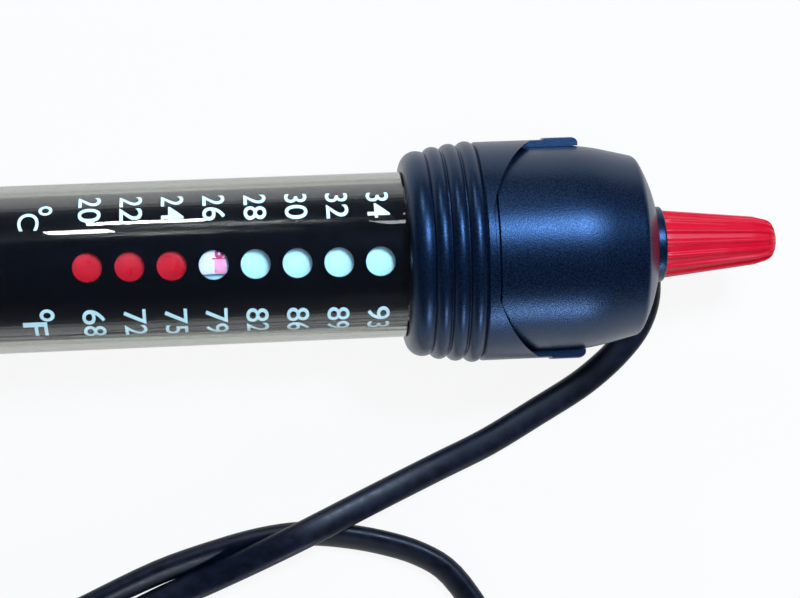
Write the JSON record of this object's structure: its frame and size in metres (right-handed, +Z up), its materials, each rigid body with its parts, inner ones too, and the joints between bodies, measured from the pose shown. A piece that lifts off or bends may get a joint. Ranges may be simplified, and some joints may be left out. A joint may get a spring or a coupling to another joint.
{
  "type": "submersible aquarium heater",
  "caption": "Submersible aquarium heater: glass tube with a temperature scale, ribbed cap with a fluted setting knob, flat cord and mains plug.",
  "frame": {"origin": "on the surface that the heater lies on, under the middle of its length from the glass tube's closed end to the knob's tip, measured without the cord", "axes": "+X along the tube towards the knob, +Z up, the side that the scale faces"},
  "size_m": [0.322, 0.1351, 0.0402],
  "materials": {
    "glass": "clear drawn tube",
    "cap_rubber": "fine spark-eroded texture",
    "head_plastic": "fine spark-eroded texture",
    "seal_rubber": "smooth",
    "knob_plastic": "smooth moulded",
    "film": "printed film",
    "white_plastic": "moulded",
    "red_plastic": "moulded",
    "phenolic": "moulded phenolic",
    "steel": "drawn",
    "brass": "stamped",
    "silver": "turned",
    "ferrite": "ground",
    "bimetal": "rolled",
    "brown_wire": "extruded insulation",
    "blue_wire": "extruded insulation",
    "white_sleeve": "woven glass sleeving",
    "mica": "pressed mica sheet",
    "neon_glass": "small glass capsule",
    "resistor": "lacquered",
    "ceramic": "unglazed steatite",
    "nichrome": "drawn and oxidised",
    "fibre_pad": "ceramic fibre",
    "cord_sheath": "extruded, satin",
    "tie_strap": "woven strap",
    "plug_plastic": "moulded"
  },
  "bodies": {
    "heater": {"glass_tube": "glass", "collar": "cap_rubber", "head_shell": "head_plastic", "cord_gland": "seal_rubber", "tube_gasket": "seal_rubber", "bung": "seal_rubber", "shaft_seals": "seal_rubber", "seal_washer": "steel", "scale_film": "film", "front_carrier": "white_plastic", "rear_carrier": "white_plastic", "guide_rails": "white_plastic", "reflector": "white_plastic", "thermostat_bed": "phenolic", "arm_pin": "steel", "bimetal_post": "brass", "magnet": "ferrite", "terminals": "brass", "live_lead": "brown_wire", "neutral_lead": "blue_wire", "load_lead": "white_sleeve", "return_lead": "white_sleeve", "lamp_board": "mica", "neon_lamp": "neon_glass", "lamp_resistor": "resistor", "heat_shield": "mica", "core_spacers": "ceramic", "ceramic_core": "ceramic", "heating_coil": "nichrome", "core_rod": "steel", "core_nuts": "steel", "end_pad": "fibre_pad", "cord_run": "cord_sheath", "cord_hank": "cord_sheath", "cord_tie": "tie_strap", "cord_tail": "cord_sheath", "plug_body": "plug_plastic", "plug_pins": "brass", "pin_sleeves": "plug_plastic"},
    "knob_drive": {"knob": "knob_plastic", "spindle": "steel", "spindle_clip": "brass", "cam": "white_plastic"},
    "indicator": {"indicator_slide": "red_plastic", "indicator_tongue": "white_plastic", "slide_yoke": "white_plastic"},
    "lever": {"contact_arm": "brass", "arm_contact": "silver"},
    "bimetal": {"bimetal_strip": "bimetal", "bimetal_contact": "silver"}
  },
  "joints": [
    {"name": "knob_turn", "type": "hinge", "parent": "heater", "child": "knob_drive", "pos_m": [0.1356, 0, 0.0201], "axis": [1, 0, 0], "range_deg": [-135.9, 181]},
    {"name": "indicator_travel", "type": "slide", "parent": "heater", "child": "indicator", "axis": [1, 0, 0], "range_m": [-0.0235, 0.0308]},
    {"name": "lever_rock", "type": "hinge", "parent": "heater", "child": "lever", "pos_m": [0.0575, 0, 0.0127], "axis": [0, 1, 0], "range_deg": [-1.75, 2.3]},
    {"name": "bimetal_flex", "type": "hinge", "parent": "heater", "child": "bimetal", "pos_m": [-0.0119, 0, 0.01345], "axis": [0, -1, 0], "range_deg": [-0.4, 1.2], "stiffness_Nm_per_rad": 0.5}
  ],
  "couplings": [
    {"joint": "indicator_travel", "follows": "knob_turn", "m_per_rad": 0.0095493},
    {"joint": "lever_rock", "follows": "knob_turn", "ratio": 0.012}
  ]
}
